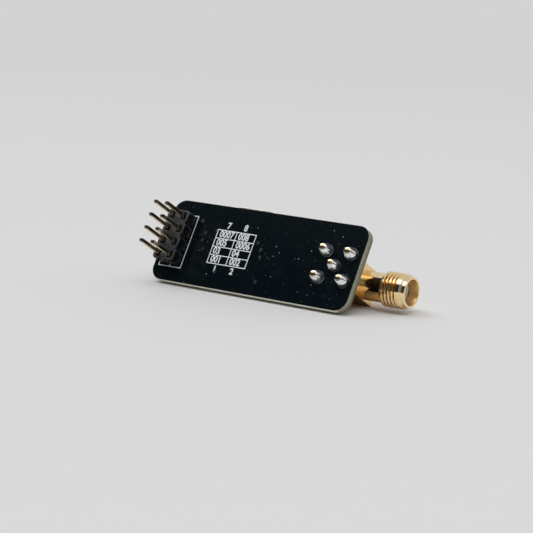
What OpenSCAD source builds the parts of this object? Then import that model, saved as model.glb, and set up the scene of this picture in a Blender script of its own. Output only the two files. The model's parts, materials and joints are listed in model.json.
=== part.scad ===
// Small radio transceiver module: a narrow circuit board with a two-row pin header at one end
// and a threaded coaxial antenna jack at the other. It stands on its long lower edge and leans
// back on the block of the jack. +X runs from the header to the mouth of the jack, +Z is up,
// and the solder side with the header pins looks towards -Y. Millimetres.

/* [Circuit board] */
// Length of the board
board_l = 42.4; // [42:0.1:46]
// Width of the board
board_w = 15.85; // [15.2:0.05:18]
// Thickness of the board
board_t = 1.6; // [1.2:0.1:2]
// Radius of the board's corners
board_corner_r = 2.4; // [0.5:0.1:3.5]

/* [Pin header] */
// Distance from the board's end to the middle of the header
header_x = 3.35; // [3:0.05:4]
// How far the middle of the header stands above the middle of the board
header_rise = 0.15; // [0:0.05:0.3]
// Pitch between pins, both ways
pin_pitch = 2.54; // [2.54:0.01:2.54]
// Side of the square pins
pin_w = 0.64; // [0.5:0.02:0.7]
// Height of the pin tips above the solder side
pin_above = 8.6; // [6:0.05:12]
// Whole length of a pin
pin_length = 11.5; // [11:0.1:14]
// Length of the taper at each end of a pin
pin_taper = 0.35; // [0.2:0.05:0.8]
// Width of a pin's flat end as a share of its side
pin_end_share = 0.55; // [0.3:0.05:0.7]
// Width of the header's moulding
housing_w = 4.7; // [4.6:0.05:5.08]
// Length of the header's moulding
housing_l = 9.8; // [9.6:0.05:10.16]
// Height of the header's moulding
housing_h = 2.5; // [2:0.1:3]
// Depth of the notches between the moulding's cells
housing_notch = 0.4; // [0.2:0.05:0.6]
// Diameter of the plated holes for the pins
pin_hole_d = 1.02; // [0.95:0.01:1.2]

/* [Antenna jack] */
// Distance from the board's end to the middle of the jack's four legs
jack_x = 37.6; // [36:0.1:38]
// Height of the jack's axis above the component side
jack_axis_h = 6.35; // [6:0.05:7]
// Side of the jack's square block
jack_block_w = 5.9; // [5.9:0.05:6.35]
// Height of the block above the component side
jack_block_h = 9.5; // [9.5:0.1:10.5]
// Chamfer along the edges of the block's far end
jack_edge = 0.6; // [0.1:0.05:0.8]
// Distance from the middle of the legs to the rim of the mouth
jack_reach = 11.53; // [11:0.01:13]
// How far the barrel is pressed into the block
barrel_seat = 1; // [0.6:0.1:1.2]
// Diameter of the smooth barrel behind the thread
barrel_d = 5.2; // [5:0.05:5.4]
// Diameter over the crests of the thread
thread_d = 6.24; // [6.1:0.01:6.35]
// Diameter at the roots of the thread
thread_root_d = 5.4; // [5.3:0.05:5.5]
// Pitch of the thread
thread_pitch = 0.7056; // [0.7056:0.0001:0.7056]
// Number of ridges on the thread
thread_ridges = 5; // [4:1:6]
// Width of a ridge's flat crest as a share of the pitch
thread_crest = 0.2; // [0.1:0.05:0.3]
// Width of the flat root between ridges as a share of the pitch
thread_root = 0.1; // [0.05:0.05:0.2]
// Distance from the last ridge to the rim of the mouth
thread_setback = 1.55; // [1.2:0.05:2]
// Diameter of the plain collar at the rim
rim_d = 5.44; // [5.2:0.02:5.5]
// Chamfer around the rim of the mouth
rim_edge = 0.15; // [0.05:0.05:0.25]
// Diameter of the mouth
mouth_d = 4.6; // [4.6:0.01:4.7]
// Depth of the mouth down to the insulator
mouth_depth = 1.9; // [1.6:0.1:2.1]
// Diameter of the insulator in the barrel
insulator_d = 4.1; // [4:0.05:4.2]
// Diameter of the centre contact
contact_d = 1.27; // [1.2:0.01:1.3]
// Diameter of the centre contact's socket
socket_d = 0.94; // [0.92:0.01:1]
// Depth of the centre contact's socket
socket_depth = 2.8; // [2:0.1:3.5]
// Width of the slot across the centre contact's socket
socket_slot = 0.15; // [0.1:0.05:0.2]
// Spacing of the four legs, both ways
leg_pitch = 5.08; // [5.08:0.01:5.08]
// Side of the square legs
leg_w = 0.8; // [0.6:0.05:0.8]
// Height of the leg tips above the solder side
leg_above = 2; // [1.5:0.1:2.5]
// Diameter of the plated holes for the legs
leg_hole_d = 1.5; // [1.3:0.05:1.7]
// Diameter of the upright centre pin
center_pin_d = 0.9; // [0.8:0.02:0.9]
// Diameter of the insulating sleeve around the upright pin
sleeve_d = 3; // [2.6:0.1:3.2]
// Diameter of the cap that closes the back of the block
cap_d = 4.6; // [4.4:0.1:5]
// Thickness of the cap
cap_t = 0.8; // [0.5:0.1:1]

/* [Crystal] */
// Distance from the board's end to the middle of the crystal
crystal_x = 16.3; // [15.5:0.1:17]
// How far the crystal's flange stands over the board's upper edge
crystal_over = 0.95; // [0:0.05:1.2]
// Length of the flange
flange_l = 11.05; // [10.8:0.05:11.3]
// Width of the flange
flange_w = 4.65; // [4.5:0.05:4.8]
// Thickness of the flange
flange_t = 0.4; // [0.3:0.05:0.5]
// Height of the can above the flange
can_h = 3; // [2.5:0.1:3.2]
// How far the can's side stands inside the flange's edge
can_inset = 0.4; // [0.3:0.05:0.5]
// Thickness of the can's wall
can_wall = 0.2; // [0.15:0.05:0.3]
// Thickness of the plastic seat under the crystal
seat_t = 0.5; // [0.4:0.05:0.6]
// How far the seat's side stands inside the flange's edge
seat_inset = 0.3; // [0.1:0.05:0.5]
// Distance between the two leads where they leave the flange
lead_pitch = 4.9; // [4.8:0.02:5]
// Width of a lead
lead_w = 0.5; // [0.4:0.05:0.6]
// Thickness of the flat part of a lead
lead_t = 0.25; // [0.2:0.05:0.3]
// How far the leads reach past the flange at each end
lead_reach = 0.8; // [0.4:0.1:1]
// Length of the quartz plate
quartz_l = 8; // [7:0.1:8.5]
// Height of the quartz plate
quartz_h = 1.8; // [1.5:0.1:2]

/* [Chips] */
// Side of the transceiver chip
transceiver_w = 4; // [3.5:0.1:5]
// Side of the power amplifier chip
amplifier_w = 3; // [2.5:0.1:3.5]
// Height of both chips
chip_h = 0.85; // [0.7:0.05:1]
// Pitch of the pads along a chip's side
chip_pad_pitch = 0.5; // [0.5:0.05:0.5]

/* [Small parts] */
// Length of a small resistor, capacitor or coil
small_l = 1; // [0.9:0.05:1.1]
// Width of a small resistor, capacitor or coil
small_w = 0.5; // [0.45:0.05:0.6]
// Length of a supply capacitor
supply_l = 1.6; // [1.5:0.05:1.7]
// Width of a supply capacitor
supply_w = 0.8; // [0.75:0.05:0.9]

/* [Solder] */
// How far the solder spreads at a lead's tip, as a share of the lead's side
joint_tip_share = 0.8; // [0.75:0.05:0.9]
// How hollow the side of a solder joint is: 1 is a plain cone
joint_hollow = 1.2; // [1:0.1:2.5]
// Radius of a solder joint's foot at the header
pin_joint_r = 0.95; // [0.8:0.05:1]
// Height of a solder joint at the header
pin_joint_h = 0.95; // [0.7:0.05:1.1]
// Radius of a solder joint's foot at the jack
leg_joint_r = 1.25; // [1.1:0.05:1.4]
// Radius of the foot of the solder joint at the jack's centre pin
center_joint_r = 1.15; // [1:0.05:1.3]
// Height of a solder joint at the jack
leg_joint_h = 1.8; // [1.2:0.1:1.9]

/* [Hidden] */
$fn = 64;

// In the board's own frame X runs along the board, Y across it and Z out of the solder side.
// The component side is the plane z = 0 and its lower edge is the line that meets the floor.
board_mid = board_w / 2;
header_mid = board_mid + header_rise;
header_columns = 2;
header_rows = 4;
jack_block_low = board_mid - jack_block_w / 2;
jack_front_x = jack_x + jack_block_w / 2;
jack_back_x = jack_x - jack_block_w / 2;
barrel_back_x = jack_front_x - barrel_seat;
rim_x = jack_x + jack_reach;
barrel_l = rim_x - barrel_back_x;
thread_start = barrel_l - thread_setback - thread_ridges * thread_pitch;
insulator_face_x = rim_x - mouth_depth;

// The board leans back until the chamfered lower edge of the jack's block meets the floor.
lean = atan2(jack_block_low, jack_block_h - jack_edge);
pin_tip_low = header_mid - (header_rows - 1) / 2 * pin_pitch - pin_w * pin_end_share / 2;
front_reach = (board_t + pin_above) * cos(lean) - pin_tip_low * sin(lean);
back_reach = jack_block_h * cos(lean)
    + (board_mid + jack_block_w / 2 - jack_edge) * sin(lean);

// A hair's overlap where a tool has to cut clear through a face
cut = 0.2;

module stand() {
    translate([-rim_x / 2, (front_reach - back_reach) / 2, 0])
        rotate([90 - lean, 0, 0])
            children();
}

// Turns a shape that grows upwards so that it hangs on the component side of the standing board.
module component_side() {
    stand() mirror([0, 0, 1]) children();
}

module solder_side() {
    stand() translate([0, 0, board_t]) children();
}

module rounded_outline(l, w, r) {
    translate([r, 0]) square([l - 2 * r, w]);
    translate([0, r]) square([l, w - 2 * r]);
    for (x = [r, l - r], y = [r, w - r]) translate([x, y]) circle(r);
}

module stadium(l, w) {
    square([l - w, w], center = true);
    for (side = [-1, 1]) translate([side * (l - w) / 2, 0]) circle(d = w);
}

// Pins are counted from the lower outer corner: odd ones in the outer column, rows upwards.
function pin_place(i) = [
    header_x + ((i - 1) % header_columns - 0.5) * pin_pitch,
    header_mid + (floor((i - 1) / header_columns) - (header_rows - 1) / 2) * pin_pitch
];

function leg_places() = [
    for (sx = [-1, 1], sy = [-1, 1]) [jack_x + sx * leg_pitch / 2, board_mid + sy * leg_pitch / 2]
];

module circuit_board() {
    color("#10181d") stand() linear_extrude(board_t) difference() {
        rounded_outline(board_l, board_w, board_corner_r);
        for (i = [1 : header_columns * header_rows]) translate(pin_place(i)) circle(d = pin_hole_d);
        for (place = leg_places()) translate(place) circle(d = leg_hole_d);
        translate([jack_x, board_mid]) circle(d = leg_hole_d);
    }
}

// One side of the moulding, from the bottom row to the top row, notched between the cells
function housing_side(sign) = [
    for (row = [0 : header_rows - 1])
        let (
            low = row == 0 ? -housing_l / 2 : (row - header_rows / 2) * pin_pitch,
            high = row == header_rows - 1 ? housing_l / 2 : (row + 1 - header_rows / 2) * pin_pitch,
            out = sign * housing_w / 2,
            in = sign * (housing_w / 2 - housing_notch)
        )
        each [[in, low], [out, low + housing_notch], [out, high - housing_notch], [in, high]]
];

function reversed(list) = [for (i = [len(list) - 1 : -1 : 0]) list[i]];

module header_housing() {
    color("#1b1b1d") solder_side() linear_extrude(housing_h) difference() {
        translate([header_x, header_mid])
            polygon(concat(housing_side(1), reversed(housing_side(-1))));
        for (i = [1 : header_columns * header_rows])
            translate(pin_place(i)) square(pin_w, center = true);
    }
}

module pin_end() {
    linear_extrude(pin_taper, scale = pin_end_share) square(pin_w, center = true);
}

module header_pin(i) {
    shaft = pin_length - 2 * pin_taper;
    color("#b8963f") stand()
        translate(concat(pin_place(i), [board_t + pin_above - pin_length + pin_taper])) {
            linear_extrude(shaft) square(pin_w, center = true);
            translate([0, 0, shaft]) pin_end();
            mirror([0, 0, 1]) pin_end();
        }
}

// A hollow-sided cone of solder with a plug that fills the plated hole below it
module solder_cone(foot_r, tip_r, h, hole_d) {
    steps = 6;
    rotate_extrude() polygon(concat(
        [[0, -board_t], [hole_d / 2, -board_t], [hole_d / 2, 0]],
        [for (k = [0 : steps])
            [tip_r + (foot_r - tip_r) * pow(1 - k / steps, joint_hollow), h * k / steps]],
        [[0, h]]
    ));
}

module header_solder_joints() {
    color("#c9ccd0") component_side()
        for (i = [1 : header_columns * header_rows]) translate(pin_place(i)) difference() {
            solder_cone(pin_joint_r, pin_w * joint_tip_share, pin_joint_h, pin_hole_d);
            translate([0, 0, pin_joint_h / 2]) cube([pin_w, pin_w, 4 * board_t], center = true);
        }
}

module jack_solder_joints() {
    color("#c9ccd0") solder_side() {
        for (place = leg_places()) translate(place) difference() {
            solder_cone(leg_joint_r, leg_w * joint_tip_share, leg_joint_h, leg_hole_d);
            cube([leg_w, leg_w, 4 * board_t], center = true);
        }
        translate([jack_x, board_mid]) difference() {
            solder_cone(center_joint_r, center_pin_d * joint_tip_share, leg_joint_h, leg_hole_d);
            cylinder(h = 4 * board_t, d = center_pin_d, center = true);
        }
    }
}

// The block's outline, extruded through the block's width and turned about the upright axis
module block_prism(turn) {
    half = jack_block_w / 2;
    rotate([90, 0, turn]) linear_extrude(jack_block_w, center = true) polygon([
        [-half, 0], [-half, jack_block_h - jack_edge], [jack_edge - half, jack_block_h],
        [half - jack_edge, jack_block_h], [half, jack_block_h - jack_edge], [half, 0]
    ]);
}

// A cylinder on the jack's axis between two places along the board
module on_jack_axis(x0, x1, d) {
    translate([x0, board_mid, jack_axis_h]) rotate([0, 90, 0]) cylinder(h = x1 - x0, d = d);
}

// The square block with its four legs, bored from the back, the front and the board's side
module jack_block() {
    color("#d9ad5b") component_side() {
        difference() {
            translate([jack_x, board_mid, 0]) intersection() {
                block_prism(0);
                block_prism(90);
            }
            on_jack_axis(jack_back_x - cut, jack_back_x + cap_t, cap_d);
            on_jack_axis(jack_back_x, jack_front_x, insulator_d);
            on_jack_axis(barrel_back_x, jack_front_x + cut, barrel_d);
            translate([jack_x, board_mid, -cut]) cylinder(h = jack_axis_h + cut, d = sleeve_d);
        }
        for (place = leg_places())
            translate([place[0] - leg_w / 2, place[1] - leg_w / 2, -board_t - leg_above])
                cube([leg_w, leg_w, board_t + leg_above + cut]);
    }
}

// The ridges of the thread, as [radius, distance from the back of the barrel]
function thread_outline() = [
    for (k = [0.5 : thread_ridges])
        let (
            middle = thread_start + k * thread_pitch,
            crest = thread_crest * thread_pitch / 2,
            foot = (1 - thread_root) * thread_pitch / 2
        )
        each [
            [thread_root_d / 2, middle - foot],
            [thread_d / 2, middle - crest],
            [thread_d / 2, middle + crest],
            [thread_root_d / 2, middle + foot]
        ]
];

// The barrel is pressed into the block and carries the thread and the mouth.
module jack_barrel() {
    color("#d9ad5b") component_side() translate([barrel_back_x, board_mid, jack_axis_h])
        rotate([0, 90, 0]) rotate_extrude() polygon(concat(
            [[insulator_d / 2, 0], [barrel_d / 2, 0], [barrel_d / 2, thread_start]],
            thread_outline(),
            [[rim_d / 2, barrel_l - thread_setback + rim_edge], [rim_d / 2, barrel_l - rim_edge]],
            [[rim_d / 2 - rim_edge, barrel_l], [mouth_d / 2, barrel_l]],
            [[mouth_d / 2, barrel_l - mouth_depth], [insulator_d / 2, barrel_l - mouth_depth]]
        ));
}

module jack_rear_cap() {
    color("#d3a856") component_side() on_jack_axis(jack_back_x, jack_back_x + cap_t, cap_d);
}

// The insulator fills the barrel from its back to the floor of the mouth.
module jack_insulator() {
    color("#f1efe8") component_side() difference() {
        on_jack_axis(barrel_back_x, insulator_face_x, insulator_d);
        on_jack_axis(barrel_back_x - cut, insulator_face_x + cut, contact_d);
    }
}

// The contact reaches back over the upright pin and ends in a slotted socket at the front.
module jack_center_contact() {
    color("#dcb562") component_side() difference() {
        on_jack_axis(jack_x - contact_d / 2, insulator_face_x, contact_d);
        on_jack_axis(insulator_face_x - socket_depth, insulator_face_x + cut, socket_d);
        translate([insulator_face_x - socket_depth / 2, board_mid - socket_slot / 2,
                   jack_axis_h - contact_d])
            cube([socket_depth, socket_slot, 2 * contact_d]);
        translate([jack_x, board_mid, 0]) cylinder(h = jack_axis_h + contact_d, d = center_pin_d);
    }
}

module jack_center_pin() {
    color("#dcb562") component_side() translate([jack_x, board_mid, -board_t - leg_above])
        cylinder(h = board_t + leg_above + jack_axis_h + contact_d / 2, d = center_pin_d);
}

// The sleeve fills the upright bore from the board to just below the horizontal one.
module jack_pin_sleeve() {
    color("#f1efe8") component_side() translate([jack_x, board_mid, 0]) difference() {
        cylinder(h = jack_axis_h - insulator_d / 2, d = sleeve_d);
        translate([0, 0, -cut]) cylinder(h = jack_axis_h, d = center_pin_d);
    }
}

module at_crystal(height) {
    component_side()
        translate([crystal_x, board_w + crystal_over - flange_w / 2, height]) children();
}

// The seat keeps the metal flange off the board; the leads come out through its underside.
module crystal_seat() {
    color("#232325") at_crystal(0) difference() {
        linear_extrude(seat_t) stadium(flange_l - 2 * seat_inset, flange_w - 2 * seat_inset);
        for (turn = [0, 180]) rotate(turn) crystal_lead_shape();
    }
}

module crystal_lead_shape() {
    lead_x = lead_pitch / 2 - lead_w / 2;
    translate([lead_x, -lead_w / 2, 0]) cube([flange_l / 2 + lead_reach - lead_x, lead_w, lead_t]);
    translate([lead_x, -lead_w / 2, 0]) cube([lead_w, lead_w, seat_t]);
}

module crystal_lead(turn) {
    color("#c9ccd0") at_crystal(0) rotate(turn) crystal_lead_shape();
}

module crystal_flange() {
    color("#b9bdc1") at_crystal(seat_t) linear_extrude(flange_t) stadium(flange_l, flange_w);
}

module crystal_can() {
    color("#c3c7cb") at_crystal(seat_t + flange_t) difference() {
        linear_extrude(can_h) stadium(flange_l - 2 * can_inset, flange_w - 2 * can_inset);
        translate([0, 0, -cut]) linear_extrude(can_h - can_wall + cut)
            stadium(flange_l - 2 * (can_inset + can_wall), flange_w - 2 * (can_inset + can_wall));
    }
}

// The quartz plate stands on its edge in the can, held near both ends by a stub of its holder.
module quartz_blank() {
    plate_t = 0.12;
    stub_w = 0.6;
    stub_h = 0.5;
    plate_bottom = 0.4;
    stub_x = 0.4 * quartz_l;
    color("#dfe7ea") at_crystal(seat_t + flange_t) {
        translate([-quartz_l / 2, -plate_t / 2, plate_bottom]) cube([quartz_l, plate_t, quartz_h]);
        for (side = [-1, 1])
            translate([side * stub_x - stub_w / 2, -stub_w / 2, 0]) cube([stub_w, stub_w, stub_h]);
    }
}

// A flat square package on short pads along its four sides
module flat_chip(place, w, pads) {
    pad_w = 0.25;
    pad_l = 0.4;
    pad_t = 0.05;
    pad_out = 0.05;
    component_side() translate(place) {
        translate([-w / 2, -w / 2, pad_t]) cube([w, w, chip_h - pad_t]);
        for (turn = [0 : 90 : 270], k = [0 : pads - 1])
            rotate(turn)
                translate([
                    w / 2 - pad_l + pad_out,
                    (k - (pads - 1) / 2) * chip_pad_pitch - pad_w / 2,
                    0
                ])
                    cube([pad_l, pad_w, 2 * pad_t]);
    }
}

module transceiver_chip() {
    color("#1f2022") flat_chip([15.2, 7.4], transceiver_w, 5);
}

module amplifier_chip() {
    color("#222325") flat_chip([26.2, board_mid], amplifier_w, 4);
}

// A two-ended part: a block with a slightly larger metal cap on each end
module two_ended(place, turn, l, w, h) {
    cap_l = 0.25 * l;
    rim = 0.02;
    component_side() translate(place) rotate(turn) {
        translate([-l / 2, -w / 2, rim]) cube([l, w, h - 2 * rim]);
        for (x = [-l / 2, l / 2 - cap_l])
            translate([x - rim, -w / 2 - rim, 0]) cube([cap_l + rim, w + 2 * rim, h]);
    }
}

module supply_capacitor(place, turn) {
    color("#b59a72") two_ended(place, turn, supply_l, supply_w, supply_w);
}

module small_capacitor(place, turn) {
    color("#b59a72") two_ended(place, turn, small_l, small_w, small_w);
}

module small_resistor(place, turn) {
    color("#26272a") two_ended(place, turn, small_l, small_w, 0.7 * small_w);
}

module small_coil(place, turn) {
    color("#d8dde0") two_ended(place, turn, small_l, small_w, small_w);
}

circuit_board();
header_housing();
header_pin(1);  // header_pin_1
header_pin(2);  // header_pin_2
header_pin(3);  // header_pin_3
header_pin(4);  // header_pin_4
header_pin(5);  // header_pin_5
header_pin(6);  // header_pin_6
header_pin(7);  // header_pin_7
header_pin(8);  // header_pin_8
header_solder_joints();
jack_block();
jack_barrel();
jack_rear_cap();
jack_insulator();
jack_center_contact();
jack_center_pin();
jack_pin_sleeve();
jack_solder_joints();
crystal_seat();
crystal_flange();
crystal_can();
quartz_blank();
crystal_lead(180);  // crystal_lead_1
crystal_lead(0);  // crystal_lead_2
transceiver_chip();
amplifier_chip();
supply_capacitor([8.6, 4.2], 90);  // supply_capacitor_1
supply_capacitor([10.4, 4.2], 90);  // supply_capacitor_2
supply_capacitor([23, 12.4], 0);  // supply_capacitor_3
small_capacitor([12.2, 11.2], 0);  // crystal_capacitor_1
small_capacitor([19.4, 11.2], 0);  // crystal_capacitor_2
small_resistor([15.8, 11.2], 0);  // crystal_resistor
small_resistor([18.6, 4.4], 90);  // bias_resistor
small_capacitor([11.8, 7.4], 90);  // core_capacitor
small_coil([19.2, 8.8], 0);  // balun_coil_1
small_coil([19.2, 7.4], 90);  // balun_coil_2
small_coil([20.6, 7.4], 90);  // balun_coil_3
small_capacitor([22.4, board_mid], 0);  // coupling_capacitor_1
small_capacitor([29.6, board_mid], 0);  // coupling_capacitor_2
small_coil([31.4, board_mid], 0);  // filter_coil
small_capacitor([30.5, 6.4], 90);  // filter_capacitor_1
small_capacitor([32.4, 6.4], 90);  // filter_capacitor_2
small_capacitor([25.2, 11], 0);  // amplifier_capacitor_1
small_capacitor([27.2, 11], 0);  // amplifier_capacitor_2
small_resistor([25.2, 4.6], 90);  // control_resistor_1
small_resistor([27, 4.6], 90);  // control_resistor_2
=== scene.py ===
"""A small radio transceiver module that leans back on its antenna jack, on a pale studio floor.

Everything is built in the board's own frame, in millimetres: u runs along the board from the
header's end, v across it from the edge that meets the floor, and w out of the solder side, with
w = 0 on the component side. BOARD carries that frame into the row's frame, in metres.
"""

import json
import math
import random

import bmesh
import bpy
from mathutils import Matrix, Vector, noise


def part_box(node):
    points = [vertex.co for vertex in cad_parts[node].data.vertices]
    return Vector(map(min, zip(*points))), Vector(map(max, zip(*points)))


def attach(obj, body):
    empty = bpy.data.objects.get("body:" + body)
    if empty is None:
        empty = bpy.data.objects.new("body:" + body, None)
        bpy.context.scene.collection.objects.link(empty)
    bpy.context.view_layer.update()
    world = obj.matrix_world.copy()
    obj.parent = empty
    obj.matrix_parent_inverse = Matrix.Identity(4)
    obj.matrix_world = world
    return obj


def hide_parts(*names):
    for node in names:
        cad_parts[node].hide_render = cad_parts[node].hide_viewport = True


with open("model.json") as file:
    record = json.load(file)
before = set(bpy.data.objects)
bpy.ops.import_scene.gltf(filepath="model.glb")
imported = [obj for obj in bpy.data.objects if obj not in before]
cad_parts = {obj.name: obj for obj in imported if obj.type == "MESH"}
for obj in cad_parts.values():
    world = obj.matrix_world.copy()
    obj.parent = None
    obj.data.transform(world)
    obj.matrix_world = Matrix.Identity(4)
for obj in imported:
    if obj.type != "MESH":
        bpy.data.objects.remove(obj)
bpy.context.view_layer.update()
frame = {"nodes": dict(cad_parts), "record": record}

MM = 0.001
PIN_PITCH = 2.54
PIN_ROWS, PIN_COLUMNS = 4, 2
PINS = [f"header_pin_{number}" for number in range(1, PIN_ROWS * PIN_COLUMNS + 1)]
LEG_PITCH = 5.08
LEG_SIDE = 0.8
THREAD_PITCH = 25.4 / 36
CORNER_RADIUS = 2.4
SKIN = 0.035          # thickness of the copper and solder mask on each side
INK = 0.02            # thickness of the white printing
BEVEL_ABOVE = 32      # degrees; flatter edges aren't rounded off
FLAT_WITHIN = 0.5     # degrees; faces of a CAD node that differ less are drawn as one

# ---------------------------------------------------------------- the board's frame

MOUNTS = {mount["name"]: mount for mount in frame["record"]["mounts"]}
NORMAL = Vector(MOUNTS["header_pins"]["axis"]).normalized()
ALONG = Vector((1, 0, 0))
ACROSS = NORMAL.cross(ALONG)

board_low, board_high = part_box("circuit_board")
board_span = (board_high - board_low) / MM
lean_sin, lean_cos = NORMAL.z, -NORMAL.y
shape_factor = lean_cos ** 2 - lean_sin ** 2
BOARD_L = board_span.x
BOARD_W = (board_span.z * lean_cos - board_span.y * lean_sin) / shape_factor
BOARD_T = (board_span.y * lean_cos - board_span.z * lean_sin) / shape_factor

board_origin = Vector((board_low.x, board_low.y + BOARD_T * MM * lean_cos, board_low.z))
BOARD = Matrix((ALONG, ACROSS, NORMAL)).transposed().to_4x4()
BOARD.translation = board_origin
TO_BOARD = BOARD.inverted()


def point_in_board(point):
    return TO_BOARD @ Vector(point) / MM


def node_box(name):
    """Lowest and highest corner of a CAD node in the board's frame."""
    points = [point_in_board(v.co) for v in frame["nodes"][name].data.vertices]
    return Vector(map(min, zip(*points))), Vector(map(max, zip(*points)))


def node_centre(name):
    low, high = node_box(name)
    return (low + high) / 2


# ---------------------------------------------------------------- materials


def node_of(tree, kind, **sockets):
    node = tree.nodes.new(kind)
    for name, value in sockets.items():
        name = name.replace("_", " ")
        if isinstance(value, bpy.types.NodeSocket):
            tree.links.new(value, node.inputs[name])
        else:
            node.inputs[name].default_value = value
    return node


def start_material(name, roughness, metallic=0.0, **sockets):
    """A material whose uniform values sit on the shader, with the board's u, v and w to draw by."""
    material = bpy.data.materials.new(name)
    material.use_nodes = True
    tree = material.node_tree
    shader = tree.nodes["Principled BSDF"]
    shader.inputs["Roughness"].default_value = roughness
    shader.inputs["Metallic"].default_value = metallic
    for socket, value in sockets.items():
        shader.inputs[socket.replace("_", " ")].default_value = value
    coordinates = tree.nodes.new("ShaderNodeTexCoord")
    place = node_of(tree, "ShaderNodeMapping", Vector=coordinates.outputs["Object"],
                    Rotation=TO_BOARD.to_euler(), Scale=(1 / MM, 1 / MM, 1 / MM))
    return material, tree, shader, place.outputs["Vector"]


def surface_normal(tree):
    """Which way the surface faces, in the row's frame."""
    return tree.nodes.new("ShaderNodeTexCoord").outputs["Normal"]


def stretched(tree, place, stretch):
    return node_of(tree, "ShaderNodeMapping", Vector=place, Scale=stretch).outputs["Vector"]


def from_corner(tree, place):
    """The place measured from the board's own corner, where u, v and w are 0."""
    start = TO_BOARD.translation / MM
    return node_of(tree, "ShaderNodeMapping", Vector=place, Location=start).outputs["Vector"]


def noise_at(tree, place, per_mm, detail=3.0, rough=0.55):
    return node_of(tree, "ShaderNodeTexNoise", Vector=place, Scale=per_mm, Detail=detail,
                   Roughness=rough).outputs["Fac"]


def ranged(tree, value, low, high, to_low, to_high):
    """The value moved from one range to another, clamped."""
    node = node_of(tree, "ShaderNodeMapRange", Value=value)
    for index, number in enumerate((low, high, to_low, to_high)):
        node.inputs[index + 1].default_value = number
    return node.outputs["Result"]


def mixed(tree, share, first, second):
    """Two colours mixed by a share from 0 to 1."""
    node = tree.nodes.new("ShaderNodeMix")
    node.data_type = "RGBA"
    tree.links.new(share, node.inputs[0])
    for index, colour in ((6, first), (7, second)):
        if isinstance(colour, bpy.types.NodeSocket):
            tree.links.new(colour, node.inputs[index])
        else:
            node.inputs[index].default_value = (*colour, 1)
    return node.outputs[2]


def maths(tree, operation, first, second):
    node = tree.nodes.new("ShaderNodeMath")
    node.operation = operation
    for index, value in enumerate((first, second)):
        if isinstance(value, bpy.types.NodeSocket):
            tree.links.new(value, node.inputs[index])
        else:
            node.inputs[index].default_value = value
    return node.outputs[0]


def bumped(tree, shader, height, depth_mm, before=None):
    """Turns a height from 0 to 1 into relief that deep."""
    bump = node_of(tree, "ShaderNodeBump", Height=height, Strength=1.0, Distance=depth_mm * MM)
    if before is not None:
        tree.links.new(before, bump.inputs["Normal"])
    tree.links.new(bump.outputs["Normal"], shader.inputs["Normal"])
    return bump.outputs["Normal"]


def vary_roughness(tree, shader, place, per_mm, low, high):
    share = noise_at(tree, place, per_mm)
    tree.links.new(ranged(tree, share, 0.35, 0.65, low, high), shader.inputs["Roughness"])


def dots(tree, place, per_mm, radius, share):
    """Scattered round specks: 1 inside a speck, 0 outside. Only that share of the cells has one."""
    cells = node_of(tree, "ShaderNodeTexVoronoi", Vector=place, Scale=per_mm, Randomness=1.0)
    inside = ranged(tree, cells.outputs["Distance"], radius * 0.6, radius, 1.0, 0.0)
    chosen = tree.nodes.new("ShaderNodeSeparateColor")
    tree.links.new(cells.outputs["Color"], chosen.inputs[0])
    keep = maths(tree, "LESS_THAN", chosen.outputs[0], share)
    return maths(tree, "MULTIPLY", inside, keep)


def mask_material():
    """Black solder mask: satin, slightly uneven, with fine dust on it."""
    material, tree, shader, place = start_material("solder_mask", 0.14, Specular_IOR_Level=0.22)
    blotches = ranged(tree, noise_at(tree, place, 0.35, 5), 0.35, 0.7, 0, 1)
    base = mixed(tree, blotches, (0.0020, 0.0054, 0.0074), (0.0034, 0.0076, 0.0102))
    fine = dots(tree, place, 1.7, 0.15, 0.2)
    coarse = dots(tree, place, 0.95, 0.11, 0.24)
    dust = maths(tree, "MAXIMUM", maths(tree, "MULTIPLY", fine, 0.3), coarse)
    colour = mixed(tree, maths(tree, "MULTIPLY", dust, 0.6), base, (0.62, 0.70, 0.78))
    tree.links.new(colour, shader.inputs["Base Color"])
    vary_roughness(tree, shader, place, 0.8, 0.12, 0.17)
    soft = bumped(tree, shader, noise_at(tree, place, 0.5, 2), 0.003)
    bumped(tree, shader, noise_at(tree, place, 9, 2), 0.0003, soft)
    return material


def laminate_material():
    """The cut edge of the glass-fibre board: olive layers, darker towards the component side.

    The long lower edge, v = 0, has a painted highlight that makes it paler than the others, and the
    darkening towards the component side is painted shade.
    """
    material, tree, shader, place = start_material(
        "laminate", 0.62, Subsurface_Weight=0.1, Subsurface_Scale=0.2 * MM)
    at = node_of(tree, "ShaderNodeSeparateXYZ", Vector=from_corner(tree, place)).outputs
    # painted highlight: the long lower edge, v = 0, is paler
    lower_edge_highlight = ranged(tree, at["Y"], 0.02, 0.3, 1, 0)
    # painted shade: the edge darkens towards the component side, through the darker copy of the layers
    solder_side = ranged(tree, at["Z"], 0.35, 1.0, 0, 1)
    across = stretched(tree, place, (0.25, 0.25, 7.0))
    layers = ranged(tree, noise_at(tree, across, 1.0, 4, 0.6), 0.35, 0.65, 0, 1)
    dark = mixed(tree, layers, (0.12, 0.11, 0.065), (0.24, 0.22, 0.145))
    light = mixed(tree, layers, (0.27, 0.26, 0.165), (0.44, 0.42, 0.30))
    base = mixed(tree, lower_edge_highlight, light, (0.95, 0.92, 0.78))
    colour = mixed(tree, solder_side, dark, base)
    fray = ranged(tree, noise_at(tree, place, 3.0, 4), 0.55, 0.7, 0, 1)
    colour = mixed(tree, maths(tree, "MULTIPLY", fray, 0.35), colour, (0.66, 0.64, 0.52))
    tree.links.new(colour, shader.inputs["Base Color"])
    weave = bumped(tree, shader, layers, 0.02)
    bumped(tree, shader, noise_at(tree, place, 8, 4), 0.015, weave)
    return material


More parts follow.
